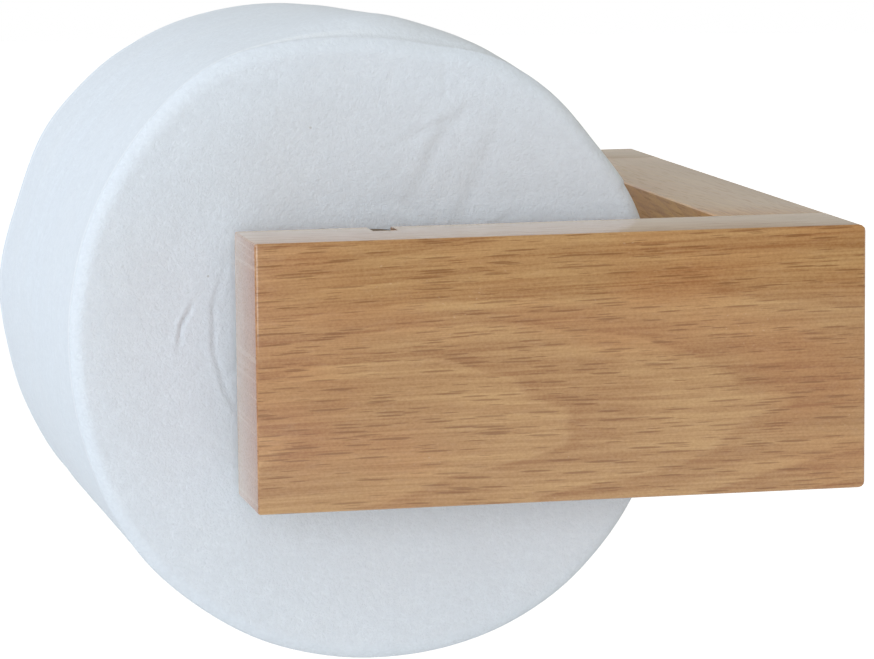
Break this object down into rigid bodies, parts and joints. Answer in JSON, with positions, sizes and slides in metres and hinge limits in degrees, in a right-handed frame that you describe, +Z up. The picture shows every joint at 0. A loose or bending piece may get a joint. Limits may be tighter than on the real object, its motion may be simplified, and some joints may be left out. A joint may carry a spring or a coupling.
{
  "type": "toilet roll holder",
  "caption": "Wall-mounted oak toilet roll holder: a U-shaped board bracket with a drop-in axle, a wooden roller and a full paper roll.",
  "frame": {"origin": "middle of the bracket's back, on the wall plane", "axes": "+X to the right along the axle as seen from the front, +Y into the wall, +Z up"},
  "size_m": [0.156, 0.1385, 0.112],
  "materials": {
    "oak": "satin",
    "beech": "matte",
    "steel": "satin",
    "zinc_plated_steel": "satin",
    "paper": "matte",
    "card": "matte"
  },
  "bodies": {
    "bracket": {"left_arm": "oak", "right_arm": "oak", "wall_block": "oak", "left_keyhole_plate": "zinc_plated_steel", "right_keyhole_plate": "zinc_plated_steel", "left_lower_dowel": "beech", "left_upper_dowel": "beech", "right_lower_dowel": "beech", "right_upper_dowel": "beech", "left_plate_lower_screw": "steel", "left_plate_upper_screw": "steel", "right_plate_lower_screw": "steel", "right_plate_upper_screw": "steel"},
    "axle": {"axle_rod": "steel"},
    "roller": {"oak_roller": "oak"},
    "roll": {"card_core": "card", "paper_roll": "paper"}
  },
  "joints": [
    {"name": "axle_lift", "type": "slide", "parent": "bracket", "child": "axle", "axis": [0, 0, 1], "range_m": [0, 0.09]},
    {"name": "roller_spin", "type": "hinge", "parent": "axle", "child": "roller", "pos_m": [0, -0.0825, 0.00965], "axis": [1, 0, 0], "continuous": true},
    {"name": "roll_spin", "type": "hinge", "parent": "axle", "child": "roll", "pos_m": [0, -0.0825, 0.00095], "axis": [1, 0, 0], "continuous": true}
  ]
}
